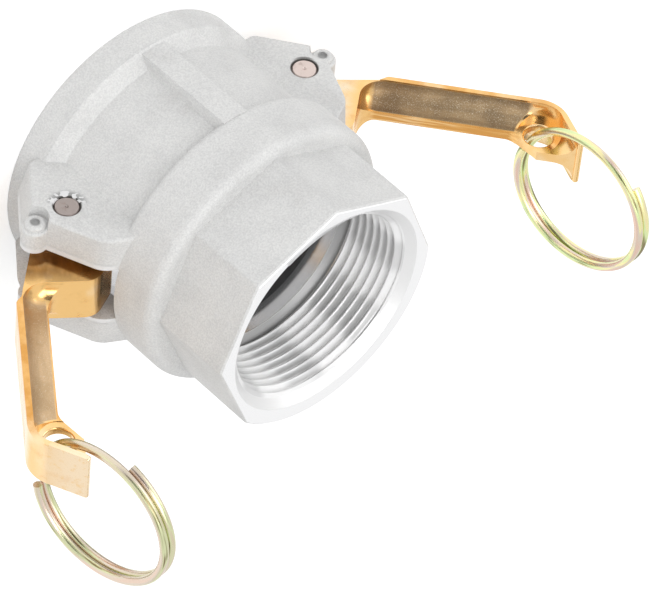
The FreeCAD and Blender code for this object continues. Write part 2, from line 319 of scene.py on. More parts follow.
def make_tool_marks() -> bpy.types.NodeTree:
    """Build the fine lines that a cutting tool leaves at even steps of a distance.

    Returns:
        A group that gives the lines' height.
    """
    graph, given, made = SharedEffect(
        "tool_marks", {"Distance": "Float", "Feed": "Float"}, {"Height": "Float"}).open()
    turn = graph.math("DIVIDE", given.outputs["Distance"], given.outputs["Feed"])
    lines = graph.math("SINE", graph.product(turn, 2 * math.pi))
    flat = graph.math("MULTIPLY_ADD", lines, HALF)
    flat.node.inputs[2].default_value = HALF
    unevenness = 0.37
    uneven = graph.node("ShaderNodeTexNoise", noise_dimensions="1D")
    graph.feed(uneven.inputs["W"], graph.product(turn, unevenness))
    uneven.inputs["Scale"].default_value = 1.0
    uneven.inputs["Detail"].default_value = 2.0
    graph.feed(made.inputs["Height"], graph.product(flat, uneven.outputs["Fac"]))
    return graph.tree


def make_blotches() -> bpy.types.NodeTree:
    """Build uneven blotches, as of tarnish.

    Returns:
        A group that gives the blotches' mask.
    """
    graph, given, made = SharedEffect(
        "blotches", {"Vector": "Vector", "Size": "Float", "Cover": "Float"}, {"Mask": "Float"}).open()
    spots = graph.noise(sized(graph, given), size=1.0, detail=5.0, rough=0.6)
    shifted = graph.math("ADD", spots, graph.math("SUBTRACT", given.outputs["Cover"], HALF))
    graph.feed(made.inputs["Mask"], graph.step(shifted, low=0.46, high=0.62))
    return graph.tree


GRAIN = make_grain()
WINDOW = make_window()
TOOL_MARKS = make_tool_marks()
BLOTCHES = make_blotches()


class Coat(Graph):
    """A material under way: a graph with coordinates and a surface shader.

    The coordinates are the object's until turn_to changes them. They are held whole as place,
    taken apart as x, y and z, and as beside, the distance from the plane of X and Z.
    """

    def __init__(self, name: str) -> None:
        """Make the material with its output, shader and object coordinates.

        Args:
            name: The material's name.
        """
        self.material = bpy.data.materials.new(name)
        self.material.use_nodes = True
        super().__init__(self.material.node_tree)
        output = self.node("ShaderNodeOutputMaterial")
        self.shader = self.node("ShaderNodeBsdfPrincipled")
        self.feed(output.inputs["Surface"], self.shader.outputs[0])
        self.take(self.node("ShaderNodeTexCoord").outputs["Object"])

    def take(self, place: Socket) -> None:
        """Take the coordinates that masks and patterns lie in.

        Args:
            place: The coordinates.
        """
        apart = self.node("ShaderNodeSeparateXYZ")
        self.feed(apart.inputs[0], place)
        self.place = place
        self.x, self.y, self.z = apart.outputs
        self.beside = self.math("ABSOLUTE", self.y)

    def turn_to(self, location: Vector, rotation: Euler) -> None:
        """Change to the own coordinates of a piece that was placed and turned.

        Args:
            location: Where the piece's own origin lies.
            rotation: How the piece is turned.
        """
        made = self.node("ShaderNodeMapping", vector_type="TEXTURE")
        self.feed(made.inputs["Vector"], self.place)
        made.inputs["Location"].default_value = location
        made.inputs["Rotation"].default_value = rotation
        self.take(made.outputs[0])

    def drawn(self, share: float) -> Socket:
        """Shrink the coordinates along Z, so that a pattern on them is drawn out that way.

        Args:
            share: What is left of a length along Z.

        Returns:
            The shrunken coordinates.
        """
        made = self.node("ShaderNodeMapping")
        self.feed(made.inputs["Vector"], self.place)
        made.inputs["Scale"].default_value = (1.0, 1.0, share)
        return made.outputs[0]

    def reach(self, first: Socket, second: Socket) -> Socket:
        """Measure how far a point lies from an axis, from its two parts across it."""
        squares = self.math("ADD", self.product(first, first), self.product(second, second))
        return self.math("SQRT", squares)

    def blotches(self, size: float, cover: float) -> Socket:
        """Mask blotches of a real size that cover more or less of the surface."""
        return self.group(BLOTCHES, Vector=self.place, Size=size, Cover=cover).outputs["Mask"]

    def window(self, value: Socket, low: float, high: float, soft: float = 0.2 * MM) -> Socket:
        """Mask a soft window of one value."""
        return self.group(WINDOW, Value=value, Low=low, High=high, Soft=soft).outputs["Mask"]

    def bump(self, height: Socket, depth: float, strength: object = 1.0,
             under: Socket | None = None) -> Socket:
        """Add a bump of a real depth.

        Args:
            height: The height, from 0 to 1.
            depth: The depth that 1 stands for, in metres.
            strength: How much of it shows.
            under: A normal that lies below it.

        Returns:
            The bumped normal.
        """
        made = self.node("ShaderNodeBump")
        made.inputs["Distance"].default_value = depth
        self.feed(made.inputs["Strength"], strength)
        self.feed(made.inputs["Height"], height)
        if under is not None:
            self.feed(made.inputs["Normal"], under)
        return made.outputs[0]

    def surface(self, **values: object) -> bpy.types.Material:
        """Feed the surface shader and hand the material over.

        Args:
            **values: Inputs of the shader, with a space in their names as an underscore.

        Returns:
            The finished material.
        """
        for name, value in values.items():
            self.feed(self.shader.inputs[name.replace("_", " ")], opaque(value))
        return self.material


@dataclass(frozen=True)
class CastAluminium:
    """Blasted sand casting, machined bright in its bore and on its end faces."""

    cast: Colour = (0.80, 0.80, 0.79)
    cast_shade: Colour = (0.60, 0.60, 0.60)
    stain: Colour = (0.50, 0.47, 0.44)
    # Painted shade: the dark of the gap round each pin and of the shadow crescent at the right pins' tops.
    pin_shade: Colour = (0.07, 0.065, 0.06)
    # A grey patch below the left pins' burrs and round a point on each knob.
    grey_patch: Colour = (0.34, 0.34, 0.34)
    bright: Colour = (0.90, 0.90, 0.905)
    # The cone's grey is partly its duller cut and partly painted dark reflection.
    cone: Colour = (0.80, 0.80, 0.80)
    step_face: Colour = (0.40, 0.40, 0.40)
    grain_size: float = 0.40 * MM
    grain_depth: float = 0.26 * MM
    sand_share: float = 0.55
    cloud_share: float = 0.25
    cloud_span: Span = (0.35, 0.7)
    speck_share: float = 0.35
    stain_size: float = 9 * MM
    stain_cover: float = 0.40
    stain_share: float = 0.12
    skin_metal: float = 0.25
    skin_rough: float = 0.62
    turned_metal: Span = (1.0, 0.7)
    turned_rough: Span = (0.27, 0.42)
    cut_feed: float = 0.32 * MM
    cut_depth: float = 0.012 * MM
    socket_reach: float = 28.7 * MM
    bore_reach: float = 25.9 * MM
    bore_from: float = 44.5 * MM
    cone_span: Span = (-0.1 * MM, 1.9 * MM)
    cone_height: Span = (-0.2 * MM, 0.2 * MM)
    step_span: Span = (-1.9 * MM, 0.5 * MM)
    step_height: Span = (-1.7 * MM, 0.1 * MM)
    skin: float = 0.12 * MM
    ear_face: Span = (14.6 * MM, 14.9 * MM)
    to_mouth: tuple[float, float] = (0.62, -0.785)
    gap_shade_reach: float = 3.1 * MM
    gap_shade_soft: float = 0.25 * MM
    burr_from: float = 2.6 * MM
    burr_length: float = 1.9 * MM
    burr_size: float = 0.85 * MM
    burr_span: Span = (0.44, 0.60)
    burr_soft: float = 0.25 * MM
    driven_span: Span = (0.05, 0.4)
    scraped_share: float = 0.9
    scraped_height: float = 0.12 * MM
    grey_patch_span: Span = (5.0 * MM, 3.5 * MM)
    grey_patch_share: float = 0.8
    knob: tuple[float, float] = (7.1 * MM, -1.8 * MM)
    knob_span: Span = (1.5 * MM, 0.8 * MM)
    knob_share: float = 0.7
    crescent_shadow_reach: float = 3.45 * MM
    crescent_shadow_soft: float = 0.3 * MM
    crescent_shadow_span: Span = (0.6, 1.0)
    crescent_shadow_share: float = 0.75
    fettled_side: Span = (7.1 * MM, 8.6 * MM)
    fettled_ragged: float = 0.5 * MM
    fettled_soft: float = 0.5 * MM
    fettled_share: float = 0.8
    rim_outside: Span = (27.0 * MM, 29.0 * MM)
    slot_height: Span = (6.0 * MM, 34.6 * MM)
    slot_soft: float = 1.0 * MM

    def build(self) -> bpy.types.Material:
        """Make the material of the casting.

        Returns:
            The material.
        """
        coat = Coat("cast_body")
        radius = coat.reach(coat.x, coat.y)
        cut = self.machined(coat, radius)
        cone, step_face = self.turned_steps(coat, radius)
        dulled = coat.math("MAXIMUM", cone, step_face)
        metal = coat.blend(step_face, coat.blend(cone, self.bright, self.cone), self.step_face)
        grain = coat.group(GRAIN, Vector=coat.place, Size=self.grain_size)
        burr, grey_patch, pin_shade = self.pin_surrounds(coat)
        scraped = coat.math("MAXIMUM", burr, self.fettled(coat, grain.outputs["Sand"]))
        skin = coat.blend(grey_patch, self.blasted(coat, grain), self.grey_patch)
        # Painted shade round the pins: the ring in each gap and the shadow crescent.
        skin = coat.blend(pin_shade, skin, self.pin_shade)
        skin = coat.blend(coat.product(scraped, self.scraped_share), skin, self.bright)
        marks = coat.group(TOOL_MARKS, Distance=coat.math("ADD", radius, coat.z), Feed=self.cut_feed)
        normal = coat.bump(grain.outputs["Height"], self.grain_depth, coat.math("SUBTRACT", 1.0, cut))
        normal = coat.bump(scraped, self.scraped_height, 1.0, normal)
        normal = coat.bump(marks.outputs["Height"], self.cut_depth, cut, normal)
        return coat.surface(
            Base_Color=coat.blend(cut, skin, metal),
            Metallic=coat.between(cut, self.skin_metal, coat.between(dulled, *self.turned_metal)),
            Roughness=coat.between(cut, self.skin_rough, coat.between(dulled, *self.turned_rough)),
            Normal=normal)

    def blasted(self, coat: Coat, grain: bpy.types.Node) -> Socket:
        """Colour the blasted skin, with its sand, faint stains and bright specks.

        Args:
            coat: The material under way.
            grain: The grain's node.

        Returns:
            The colour.
        """
        cloud = coat.step(grain.outputs["Tone"], *self.cloud_span, self.cloud_share)
        shade = coat.math("ADD", coat.product(grain.outputs["Sand"], self.sand_share), cloud)
        stained = coat.product(coat.blotches(self.stain_size, self.stain_cover), self.stain_share)
        skin = coat.blend(stained, coat.blend(shade, self.cast, self.cast_shade), self.stain)
        return coat.blend(coat.product(grain.outputs["Specks"], self.speck_share), skin, self.bright)

    def turned_steps(self, coat: Coat, radius: Socket) -> tuple[Socket, Socket]:
        """Mask the duller turned faces of the thread's bore; the cone's colour also holds painted dark reflection.

        Args:
            coat: The material under way.
            radius: The distance from the object's axis.

        Returns:
            The cone at the mouth, and the step that the bore ends on.
        """
        place = mount("pipe_thread")
        from_wall = coat.math("SUBTRACT", radius, place["dims"]["r_mm"] * MM)
        from_mouth = coat.math("SUBTRACT", coat.z, place["pos_m"][2])
        from_end = coat.math("ADD", from_mouth, place["dims"]["length_mm"] * MM)
        cone = coat.product(coat.window(from_wall, *self.cone_span, self.skin),
                            coat.step(from_mouth, *self.cone_height))
        step_face = coat.product(coat.window(from_wall, *self.step_span, self.skin),
                                 coat.window(from_end, *self.step_height, self.skin))
        return cone, step_face

    def machined(self, coat: Coat, radius: Socket) -> Socket:
        """Mask what is cut bright: the socket, the thread's bore and the two end faces.

        Args:
            coat: The material under way.
            radius: The distance from the object's axis.

        Returns:
            The mask.
        """
        low, high = (corner.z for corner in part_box("coupler_body"))
        socket = coat.product(coat.window(radius, -MM, self.socket_reach, self.skin),
                              coat.window(coat.z, -MM, self.bore_from, self.skin))
        thread = coat.product(coat.window(radius, -MM, self.bore_reach, self.skin),
                              coat.window(coat.z, self.bore_from, high + MM, self.skin))
        ends = coat.math("ADD", coat.window(coat.z, high - self.skin, high + MM, self.skin),
                         coat.window(coat.z, low - MM, low + self.skin, self.skin), clamp=True)
        return coat.math("ADD", coat.math("ADD", socket, thread), ends, clamp=True)

    def pin_surrounds(self, coat: Coat) -> tuple[Socket, Socket, Socket]:
        """Mask the marks round the pins on the ears, among them painted shade.

        Args:
            coat: The material under way.

        Returns:
            The bright burrs beside the left pins, grey patches under them and in the knobs'
            spots, and painted shade: a ring in each pin's gap and a shadow crescent at the right pins.
        """
        pin_x, _, pin_z = joint("right_arm_hinge")["pos_m"]
        from_pin = coat.math("SUBTRACT", coat.math("ABSOLUTE", coat.x), pin_x)
        up = coat.math("SUBTRACT", coat.z, pin_z)
        reach = coat.reach(from_pin, up)
        ear = coat.step(coat.beside, *self.ear_face)
        right = coat.step(coat.x, -MM, MM)
        outward = coat.product(from_pin, coat.between(right, -self.to_mouth[0], self.to_mouth[0]))
        upward = coat.product(up, self.to_mouth[1])
        toward = coat.math("DIVIDE", coat.math("ADD", outward, upward), reach)
        left = coat.math("SUBTRACT", 1.0, right)
        driven = coat.product(coat.step(toward, *self.driven_span), ear, left)
        lumps = coat.noise(coat.place, self.burr_size, detail=0.0, rough=0.5)
        tooth = coat.math("ADD", self.burr_from, coat.step(lumps, *self.burr_span, self.burr_length))
        burr = coat.product(coat.step(coat.math("SUBTRACT", tooth, reach), 0.0, self.burr_soft), driven)
        from_knob = [coat.math("SUBTRACT", way, part) for way, part in zip((from_pin, up), self.knob)]
        # Grey patches: below the left pins' burrs and round a point on each knob.
        grey_patch = coat.math(
            "MAXIMUM", coat.product(coat.step(reach, *self.grey_patch_span, self.grey_patch_share), driven),
            coat.step(coat.reach(*from_knob), *self.knob_span, self.knob_share))
        # Painted shade: a dark ring in the gap between each pin and its hole.
        ring = coat.window(reach, -MM, self.gap_shade_reach, self.gap_shade_soft)
        # Painted shadow: a dark crescent at the top of the right pins' ends, towards the mouth.
        crescent_shadow = coat.product(coat.window(reach, -MM, self.crescent_shadow_reach, self.crescent_shadow_soft),
                             coat.step(toward, *self.crescent_shadow_span), right, self.crescent_shadow_share)
        return burr, grey_patch, coat.product(coat.math("MAXIMUM", ring, crescent_shadow), ear)

    def fettled(self, coat: Coat, sand: Socket) -> Socket:
        """Mask the ragged bright strip along the edges of the slots.

        Args:
            coat: The material under way.
            sand: The sand grain, which makes the strip ragged.

        Returns:
            The mask.
        """
        beside = coat.math("SUBTRACT", coat.beside, coat.product(sand, self.fettled_ragged))
        outside = coat.step(coat.math("ABSOLUTE", coat.x), *self.rim_outside)
        return coat.product(
            coat.window(beside, *self.fettled_side, self.fettled_soft), outside,
            coat.window(coat.z, *self.slot_height, self.slot_soft), self.fettled_share)


@dataclass(frozen=True)
class CutThread:
    """Bright cut thread, with painted reflection: lighter and darker bands in sectors round the bore."""

    bright: Colour = (0.97, 0.97, 0.97)
    reflection_band: Colour = (0.72, 0.72, 0.72)
    shade: Colour = (0.80, 0.79, 0.78)
    reflection_sectors: int = 8
    first_sector: float = math.radians(-70.0)
    uneven_size: float = 9 * MM
    reflection_band_span: Span = (0.85, 0.2)
    reflection_band_metal: Span = (0.05, 0.28)
    reflection_band_rough: Span = (0.46, 0.28)
    blotch_size: float = 5 * MM
    blotch_cover: float = 0.40
    blotch_share: float = 0.35
    fine_size: float = 0.35 * MM
    fine_depth: float = 0.01 * MM

    def build(self) -> bpy.types.Material:
        """Make the material of the thread.

        Returns:
            The material.
        """
        coat = Coat("cut_thread")
        # Painted reflection: light and dark sectors round the bore, broken up by noise; the dark ones are also
        # glossier.
        turn = coat.math("SUBTRACT", coat.math("ARCTAN2", coat.y, coat.x), self.first_sector)
        sector_wave = coat.math("COSINE", coat.product(turn, float(self.reflection_sectors)))
        uneven = coat.noise(coat.place, self.uneven_size, detail=2.0, rough=0.5)
        reflection_band = coat.step(coat.math("ADD", coat.product(sector_wave, HALF), uneven), *self.reflection_band_span)
        blotch = coat.product(coat.blotches(self.blotch_size, self.blotch_cover), self.blotch_share)
        fine = coat.noise(coat.place, self.fine_size, detail=3.0, rough=0.7)
        return coat.surface(
            Base_Color=coat.blend(blotch, coat.blend(reflection_band, self.bright, self.reflection_band), self.shade),
            Metallic=coat.between(reflection_band, *self.reflection_band_metal),
            Roughness=coat.between(reflection_band, *self.reflection_band_rough),
            Normal=coat.bump(fine, self.fine_depth))


@dataclass(frozen=True)
class ForgedBrass:
    """Brass of a cam arm: tumbled bright, with the troughs left as forged and painted shade or highlight on the
    head.

    It lies in the arm's own coordinates, with X outward, Y along the pin and Z along the handle.
    """

    side: Side
    # The trough colours are as-forged brass, darkened partly as painted dark reflection.
    trough: Colour
    trough_dark: Colour
    tip: Colour
    # Painted dark reflection: how much darker amber the flanges' sides take.
    flange_dark_reflection: Span
    gold: Colour = (0.87, 0.55, 0.22)
    pale: Colour = (0.91, 0.68, 0.40)
    # Amber is the tarnish's colour, also used for painted shade towards the head and on the flanges.
    amber: Colour = (0.66, 0.33, 0.09)
    # Umber and cream also serve as painted shade and painted pale highlight on the heads' sides.
    umber: Colour = (0.30, 0.14, 0.045)
    cream: Colour = (0.80, 0.74, 0.60)
    grain_size: float = 0.34 * MM
    grain_depth: float = 0.08 * MM
    grain_show: Span = (0.06, 1.0)
    wave_size: float = 3.2 * MM
    wave_depth: float = 0.05 * MM
    tarnish_size: float = 5.5 * MM
    tarnish_cover: float = 0.42
    tarnish_share: float = 0.30
    tarnish_rough: Span = (0.2, 0.34)
    trough_rough: float = 0.52
    pale_size: float = 9 * MM
    pale_span: Span = (0.42, 0.66)
    hole: tuple[float, float] = (4.9 * MM, 52.1 * MM)
    spot_edge: Span = (5.3 * MM, 5.6 * MM)
    trough_depth: float = 5.5 * MM
    trough_out: Span = (4.95 * MM, 10.7 * MM)
    trough_along: Span = (14.6 * MM, 49.5 * MM)
    trough_soft: float = 0.3 * MM
    trough_end_soft: float = 1.2 * MM
    head_end: float = 12.6 * MM
    head_side: Span = (4.9 * MM, 5.3 * MM)
    head_drawn: float = 0.35
    head_size: float = 3.0 * MM
    head_span: Span = (0.34, 0.62)
    head_side_cover: Span = (0.35, 0.85)
    head_shade_span: Span = (0.10, 0.60)
    head_side_length: float = 4 * MM
    head_shade_length: float = 5 * MM
    tip_along: Span = (53.5 * MM, 61.0 * MM)
    tip_size: float = 1.6 * MM
    tip_span: Span = (0.5, 0.72)
    tip_gold: float = 0.55
    tip_amber: float = 0.22
    flange_side: Span = (5.2 * MM, 5.9 * MM)
    flange_along: Span = (15 * MM, 54 * MM)
    flange_soft: float = 4 * MM
    uneven_size: float = 4 * MM
    uneven_span: Span = (0.35, 0.65)
    web_out: Span = (5.0 * MM, 4.8 * MM)
    web_depth: float = 2.6 * MM
    web_along: Span = (15 * MM, 47 * MM)
    web_soft: float = 2 * MM
    web_drawn: float = 0.06
    web_size: float = 0.55 * MM
    web_span: Span = (0.36, 0.6)
    web_line: Span = (0.25, 1.0)
    stain_along: Span = (34 * MM, 13 * MM)
    stain_span: Span = (0.0, 0.8)
    stain_show: Span = (0.25, 1.0)
    stain_share: float = 0.7
    tone_span: Span = (0.4, 0.65)
    streak_drawn: float = 0.12
    streak_size: float = 1.2 * MM
    streak_span: Span = (0.38, 0.66)
    streak_share: float = 0.45
    sand_share: float = 0.35
    speck_share: float = 0.9

    def build(self) -> bpy.types.Material:
        """Make the material of one arm.

        Returns:
            The material.
        """
        coat = Coat("arm_brass_" + self.side.word)
        hinge = joint(self.side.word + "_arm_hinge")
        open_angle = math.radians(-hinge["range_deg"][0])
        turned = 0.0 if self.side is Side.RIGHT else math.pi
        coat.turn_to(Vector(hinge["pos_m"]), Euler((0.0, open_angle, turned)))
        trough = self.in_trough(coat)
        grain = coat.group(GRAIN, Vector=coat.place, Size=self.grain_size)
        tarnish = coat.blotches(self.tarnish_size, self.tarnish_cover)
        bright, dull = self.tumbled(coat, tarnish), self.as_forged(coat, grain, tarnish)
        wave = coat.bump(coat.noise(coat.place, self.wave_size, detail=2.0, rough=0.5), self.wave_depth)
        show = coat.between(trough, *self.grain_show)
        return coat.surface(
            Base_Color=coat.blend(trough, bright, dull), Metallic=1.0,
            Roughness=coat.between(trough, coat.between(tarnish, *self.tarnish_rough), self.trough_rough),
            Normal=coat.bump(grain.outputs["Height"], self.grain_depth, show, wave))

    def in_trough(self, coat: Coat) -> Socket:
        """Mask the troughs beside the web, up to the spot faces round the ring's hole.

        Args:
            coat: The material under way.

        Returns:
            The mask.
        """
        from_hole = [coat.math("SUBTRACT", way, part) for way, part in zip((coat.x, coat.z), self.hole)]
        return coat.product(
            coat.window(coat.beside, -MM, self.trough_depth, self.trough_soft),
            coat.window(coat.x, *self.trough_out, self.trough_soft),
            coat.window(coat.z, *self.trough_along, self.trough_end_soft),
            coat.step(coat.reach(*from_hole), *self.spot_edge))

    def tumbled(self, coat: Coat, tarnish: Socket) -> Socket:
        """Colour the bright brass, with its tip, web edge and tarnish, painted shade on its flanges and painted
        shade or highlight on its head.

        Args:
            coat: The material under way.
            tarnish: The tarnish's mask.

        Returns:
            The colour.
        """
        pale = coat.step(coat.noise(coat.place, self.pale_size, detail=3.0, rough=0.5), *self.pale_span)
        uneven = coat.step(coat.noise(coat.place, self.uneven_size), *self.uneven_span)
        # Painted dark reflection: darker amber on the flanges' sides, uneven along them.
        flange = coat.product(
            coat.step(coat.beside, *self.flange_side),
            coat.window(coat.z, *self.flange_along, self.flange_soft),
            coat.between(uneven, *self.flange_dark_reflection))
        # Darker amber towards the head: painted shade under the ear, with uneven tarnish.
        head_shade = coat.product(coat.step(coat.z, self.head_end, self.head_end - self.head_shade_length),
                            coat.between(uneven, *self.head_shade_span))
        return self.layered(coat, coat.blend(pale, self.gold, self.pale), (
            (coat.product(tarnish, self.tarnish_share), self.amber),
            (coat.step(coat.z, *self.tip_along), self.tip_tone(coat, tarnish)),
            # Painted shade on the left head's sides, painted pale highlight on the right head's sides.
            (self.painted_head_side(coat), self.umber if self.side is Side.LEFT else self.cream),
            (self.web_edge(coat), self.amber), (flange, self.amber), (head_shade, self.amber)))

    def as_forged(self, coat: Coat, grain: bpy.types.Node, tarnish: Socket) -> Socket:
        """Colour the troughs, stained towards the head and full of grains.

        Args:
            coat: The material under way.
            grain: The grain's node.
            tarnish: The tarnish's mask.

        Returns:
            The colour.
        """
        streak = coat.noise(coat.drawn(self.streak_drawn), self.streak_size, detail=2.0, rough=0.5)
        stained = coat.product(
            coat.step(coat.z, *self.stain_along),
            coat.between(coat.step(tarnish, *self.stain_span), *self.stain_show), self.stain_share)
        dull = coat.blend(coat.step(grain.outputs["Tone"], *self.tone_span), self.trough, self.trough_dark)
        return self.layered(coat, dull, (
            (coat.step(streak, *self.streak_span, self.streak_share), self.trough_dark),
            (coat.product(grain.outputs["Sand"], self.sand_share), self.trough_dark),
            (stained, self.umber), (coat.product(grain.outputs["Specks"], self.speck_share), self.cream)))

    @staticmethod
    def layered(coat: Coat, under: Socket, layers: tuple[tuple[Socket, object], ...]) -> Socket:
        """Lay colours over each other.

        Args:
            coat: The material under way.
            under: The lowest colour.
            layers: Each layer's mask and colour, from the lowest up.

        Returns:
            The colour that shows.
        """
        for share, colour in layers:
            under = coat.blend(share, under, colour)
        return under

    def tip_tone(self, coat: Coat, tarnish: Socket) -> Socket:
        """Colour the paler, faintly blotched tip.

        Args:
            coat: The material under way.
            tarnish: The tarnish's mask.

        Returns:
            The colour.
        """
        spots = coat.noise(coat.place, self.tip_size, detail=4.0, rough=0.65)
        tone = coat.blend(coat.step(spots, *self.tip_span, self.tip_gold), self.tip, self.gold)
        return coat.blend(coat.product(tarnish, self.tip_amber), tone, self.amber)

    def painted_head_side(self, coat: Coat) -> Socket:
        """Mask the head's sides for painted shade (umber, left arm) or painted pale highlight (cream, right arm),
        in streaks.

        Args:
            coat: The material under way.

        Returns:
            The mask.
        """
        streak = coat.noise(coat.drawn(self.head_drawn), self.head_size, detail=4.0, rough=0.6)
        return coat.product(
            coat.step(coat.beside, *self.head_side),
            coat.step(coat.z, self.head_end, self.head_end - self.head_side_length),
            coat.between(coat.step(streak, *self.head_span), *self.head_side_cover))

    def web_edge(self, coat: Coat) -> Socket:
        """Mask the web's inner edge, which the trimming left darker and lined.

        Args:
            coat: The material under way.

        Returns:
            The mask.
        """
        line = coat.noise(coat.drawn(self.web_drawn), self.web_size, detail=1.0, rough=0.5)
        return coat.product(
            coat.step(coat.x, *self.web_out), coat.window(coat.beside, -MM, self.web_depth),
            coat.window(coat.z, *self.web_along, self.web_soft),
            coat.between(coat.step(line, *self.web_span), *self.web_line))


@dataclass(frozen=True)
class YellowZinc:
    """Zinc plating with its yellow passivation, whose colours run in streaks along the wire."""

    side: Side
    swing: float
    lean: float
    straw: Colour
    play: float
    ring_radius: float = 16.75 * MM
    silver: Colour = (0.68, 0.60, 0.50)
    green: Colour = (0.66, 0.80, 0.42)
    pink: Colour = (0.76, 0.53, 0.43)
    bronze: Colour = (0.20, 0.145, 0.07)
    along_wire: float = 0.9
    across_wire: float = 0.75 / MM
    green_span: Span = (0.51, 0.57)
    silver_span: Span = (0.50, 0.45)
    pink_span: Span = (0.45, 0.38)
    bronze_span: Span = (0.59, 0.65)
    bronze_share: float = 0.9
    rough: Span = (0.22, 0.32)
    fine_size: float = 0.5 * MM
    fine_depth: float = 0.004 * MM

    def frame(self) -> tuple[Vector, Euler]:
        """Find the ring's own place and turn, with its Z along the ring's axis.

        Returns:
            The ring's middle and its turn.
        """
        hole = Vector(joint(self.side.word + "_ring_hinge")["pos_m"])
        bearing, lean = math.radians(self.swing), math.radians(self.lean)
        away = Vector((self.side.value * math.sin(bearing), 0.0, math.cos(bearing)))
        to_hole = Vector((0.0, math.sin(lean), 0.0)) - away * math.cos(lean)
        onward = Vector((0.0, -math.cos(lean), 0.0)) - away * math.sin(lean)
        turn = Matrix((to_hole, onward, to_hole.cross(onward))).transposed()
        return hole - to_hole * self.ring_radius, turn.to_euler()

    def build(self) -> bpy.types.Material:
        """Make the material of one ring's wire, with its streaks in the ring's own coordinates.

        Returns:
            The material.
        """
        coat = Coat("ring_zinc_" + self.side.word)
        fine = coat.bump(coat.noise(coat.place, self.fine_size), self.fine_depth)
        coat.turn_to(*self.frame())
        radius = coat.reach(coat.x, coat.y)
        around = coat.node("ShaderNodeCombineXYZ")
        for way, target in ((coat.x, around.inputs[0]), (coat.y, around.inputs[1])):
            coat.feed(target, coat.product(coat.math("DIVIDE", way, radius), self.along_wire))
        coat.feed(around.inputs[2], coat.product(radius, self.across_wire))
        drawn = coat.node("ShaderNodeTexNoise", noise_dimensions="4D")
        coat.feed(drawn.inputs["Vector"], around.outputs[0])
        coat.feed(drawn.inputs["W"], coat.product(coat.z, self.across_wire))
        drawn.inputs["Scale"].default_value = 1.0
        drawn.inputs["Detail"].default_value = 2.0
        streak = drawn.outputs["Fac"]
        colour = self.straw
        layers = (
            (self.green_span, self.play, self.green), (self.silver_span, 1.0, self.silver),
            (self.pink_span, self.play, self.pink), (self.bronze_span, self.bronze_share, self.bronze))
        for span, share, tint in layers:
            colour = coat.blend(coat.step(streak, *span, share), colour, tint)
        return coat.surface(
            Base_Color=colour, Metallic=1.0, Roughness=coat.between(streak, *self.rough), Normal=fine)


@dataclass(frozen=True)
class PinSteel:
    """Plain steel of a pivot pin, turned across its ends, with painted shade round the rim of each end."""

    side: Side
    # The steel's colour, with painted dark reflection in the left pin's darker value.
    steel_and_reflection: Colour
    stain: Colour = (0.30, 0.22, 0.19)
    stain_size: float = 1.6 * MM
    stain_cover: float = 0.42
    stain_share: float = 0.35
    edge: Span = (2.5 * MM, 2.8 * MM)
    rim_shade_share: float = 0.5
    metal: float = 0.8
    rough: Span = (0.4, 0.55)
    feed: float = 0.35 * MM
    feed_depth: float = 0.012 * MM

    def build(self) -> bpy.types.Material:
        """Make the material of one pin, with its turning marks round its own axis.

        Returns:
            The material.
        """
        coat = Coat("pin_steel_" + self.side.word)
        stain = coat.blotches(self.stain_size, self.stain_cover)
        coat.turn_to(Vector(joint(self.side.word + "_arm_hinge")["pos_m"]), Euler((0.0, 0.0, 0.0)))
        radius = coat.reach(coat.x, coat.z)
        marks = coat.group(TOOL_MARKS, Distance=radius, Feed=self.feed).outputs["Height"]
        # Painted shade: darker round the rim of the pin's end, where it meets the hole.
        edge = coat.step(radius, *self.edge, self.rim_shade_share)
        colour = coat.blend(coat.product(stain, self.stain_share), self.steel_and_reflection, self.stain)
        return coat.surface(
            Base_Color=coat.blend(edge, colour, self.stain), Metallic=self.metal,
            Roughness=coat.between(stain, *self.rough), Normal=coat.bump(marks, self.feed_depth))


@dataclass(frozen=True)
class SealRubber:
    """Black rubber of the gasket."""

    black: Colour = (0.018, 0.018, 0.019)
    bloom: Colour = (0.05, 0.05, 0.052)
    bloom_size: float = 2.5 * MM
    rough: Span = (0.42, 0.62)
    fine_size: float = 0.25 * MM
    fine_depth: float = 0.01 * MM

    def build(self) -> bpy.types.Material:
        """Make the material of the gasket.

        Returns:
            The material.
        """
        coat = Coat("seal_rubber")
        bloom = coat.noise(coat.place, self.bloom_size, detail=4.0, rough=0.6)
        return coat.surface(
            Base_Color=coat.blend(bloom, self.black, self.bloom),
            Roughness=coat.between(bloom, *self.rough),
            Normal=coat.bump(coat.noise(coat.place, self.fine_size), self.fine_depth))


def dress(node: str, material: bpy.types.Material) -> None:
    """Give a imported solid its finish.

    Args:
        node: The solid's node.
        material: The finish.
    """
    for entry in frame["nodes"][node].material_slots:
        entry.material = material
    log.info("%s wears %s", node, material.name)


